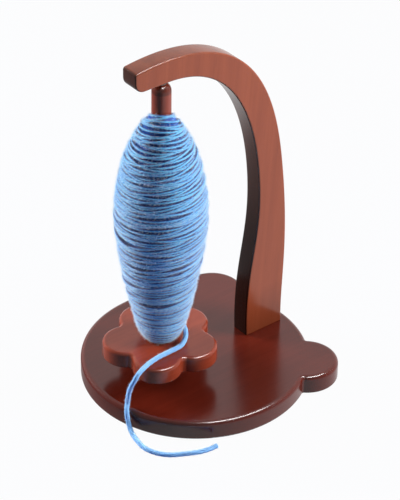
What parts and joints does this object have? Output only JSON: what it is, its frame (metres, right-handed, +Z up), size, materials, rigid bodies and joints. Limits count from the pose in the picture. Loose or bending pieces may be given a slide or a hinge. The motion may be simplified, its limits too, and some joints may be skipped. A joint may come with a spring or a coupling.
{
  "type": "yarn ball holder",
  "caption": "Wooden pendulum yarn holder: a bent arm on a round lobed base carries, on a magnet and a ball, a rod with a flower-shaped tray and wound yarn that swings and spins.",
  "frame": {"origin": "on the floor, under the centre of the round base board", "axes": "+Z up, +Y to the back where the arm stands, -Y to the front where the rod hangs, +X to the right seen from the front"},
  "size_m": [0.17, 0.1741, 0.2795],
  "materials": {
    "stained_wood": "gloss varnish",
    "pale_wood": "raw",
    "steel": "zinc plated",
    "nickel": "bright nickel",
    "pad": "matt",
    "yarn": "soft brushed yarn"
  },
  "bodies": {
    "stand": {"base_board": "stained_wood", "foot_pads": "pad", "arm": "stained_wood", "arm_dowel": "pale_wood", "arm_screws": "steel", "magnet_cup": "steel", "arm_magnet": "nickel", "yarn_tail": "yarn"},
    "swing_ball": {"pivot_ball": "nickel"},
    "swing_seat": {"ball_seat": "steel"},
    "pendulum": {"rod_magnet": "nickel", "spindle_rod": "stained_wood", "flower_tray": "stained_wood", "tray_washer": "steel", "tray_screw": "steel", "yarn_core": "yarn", "yarn_winding": "yarn"}
  },
  "joints": [
    {"name": "swing_fore_aft", "type": "hinge", "parent": "stand", "child": "swing_ball", "pos_m": [0, -0.032, 0.2592], "axis": [1, 0, 0], "range_deg": [-15, 7], "deforming": ["yarn_tail"]},
    {"name": "swing_sideways", "type": "hinge", "parent": "swing_ball", "child": "swing_seat", "pos_m": [0, -0.032, 0.2592], "axis": [0, 1, 0], "range_deg": [-15, 15], "deforming": ["yarn_tail"]},
    {"name": "spin", "type": "hinge", "parent": "swing_seat", "child": "pendulum", "pos_m": [0, -0.032, 0.2592], "axis": [0, 0, 1], "continuous": true}
  ]
}
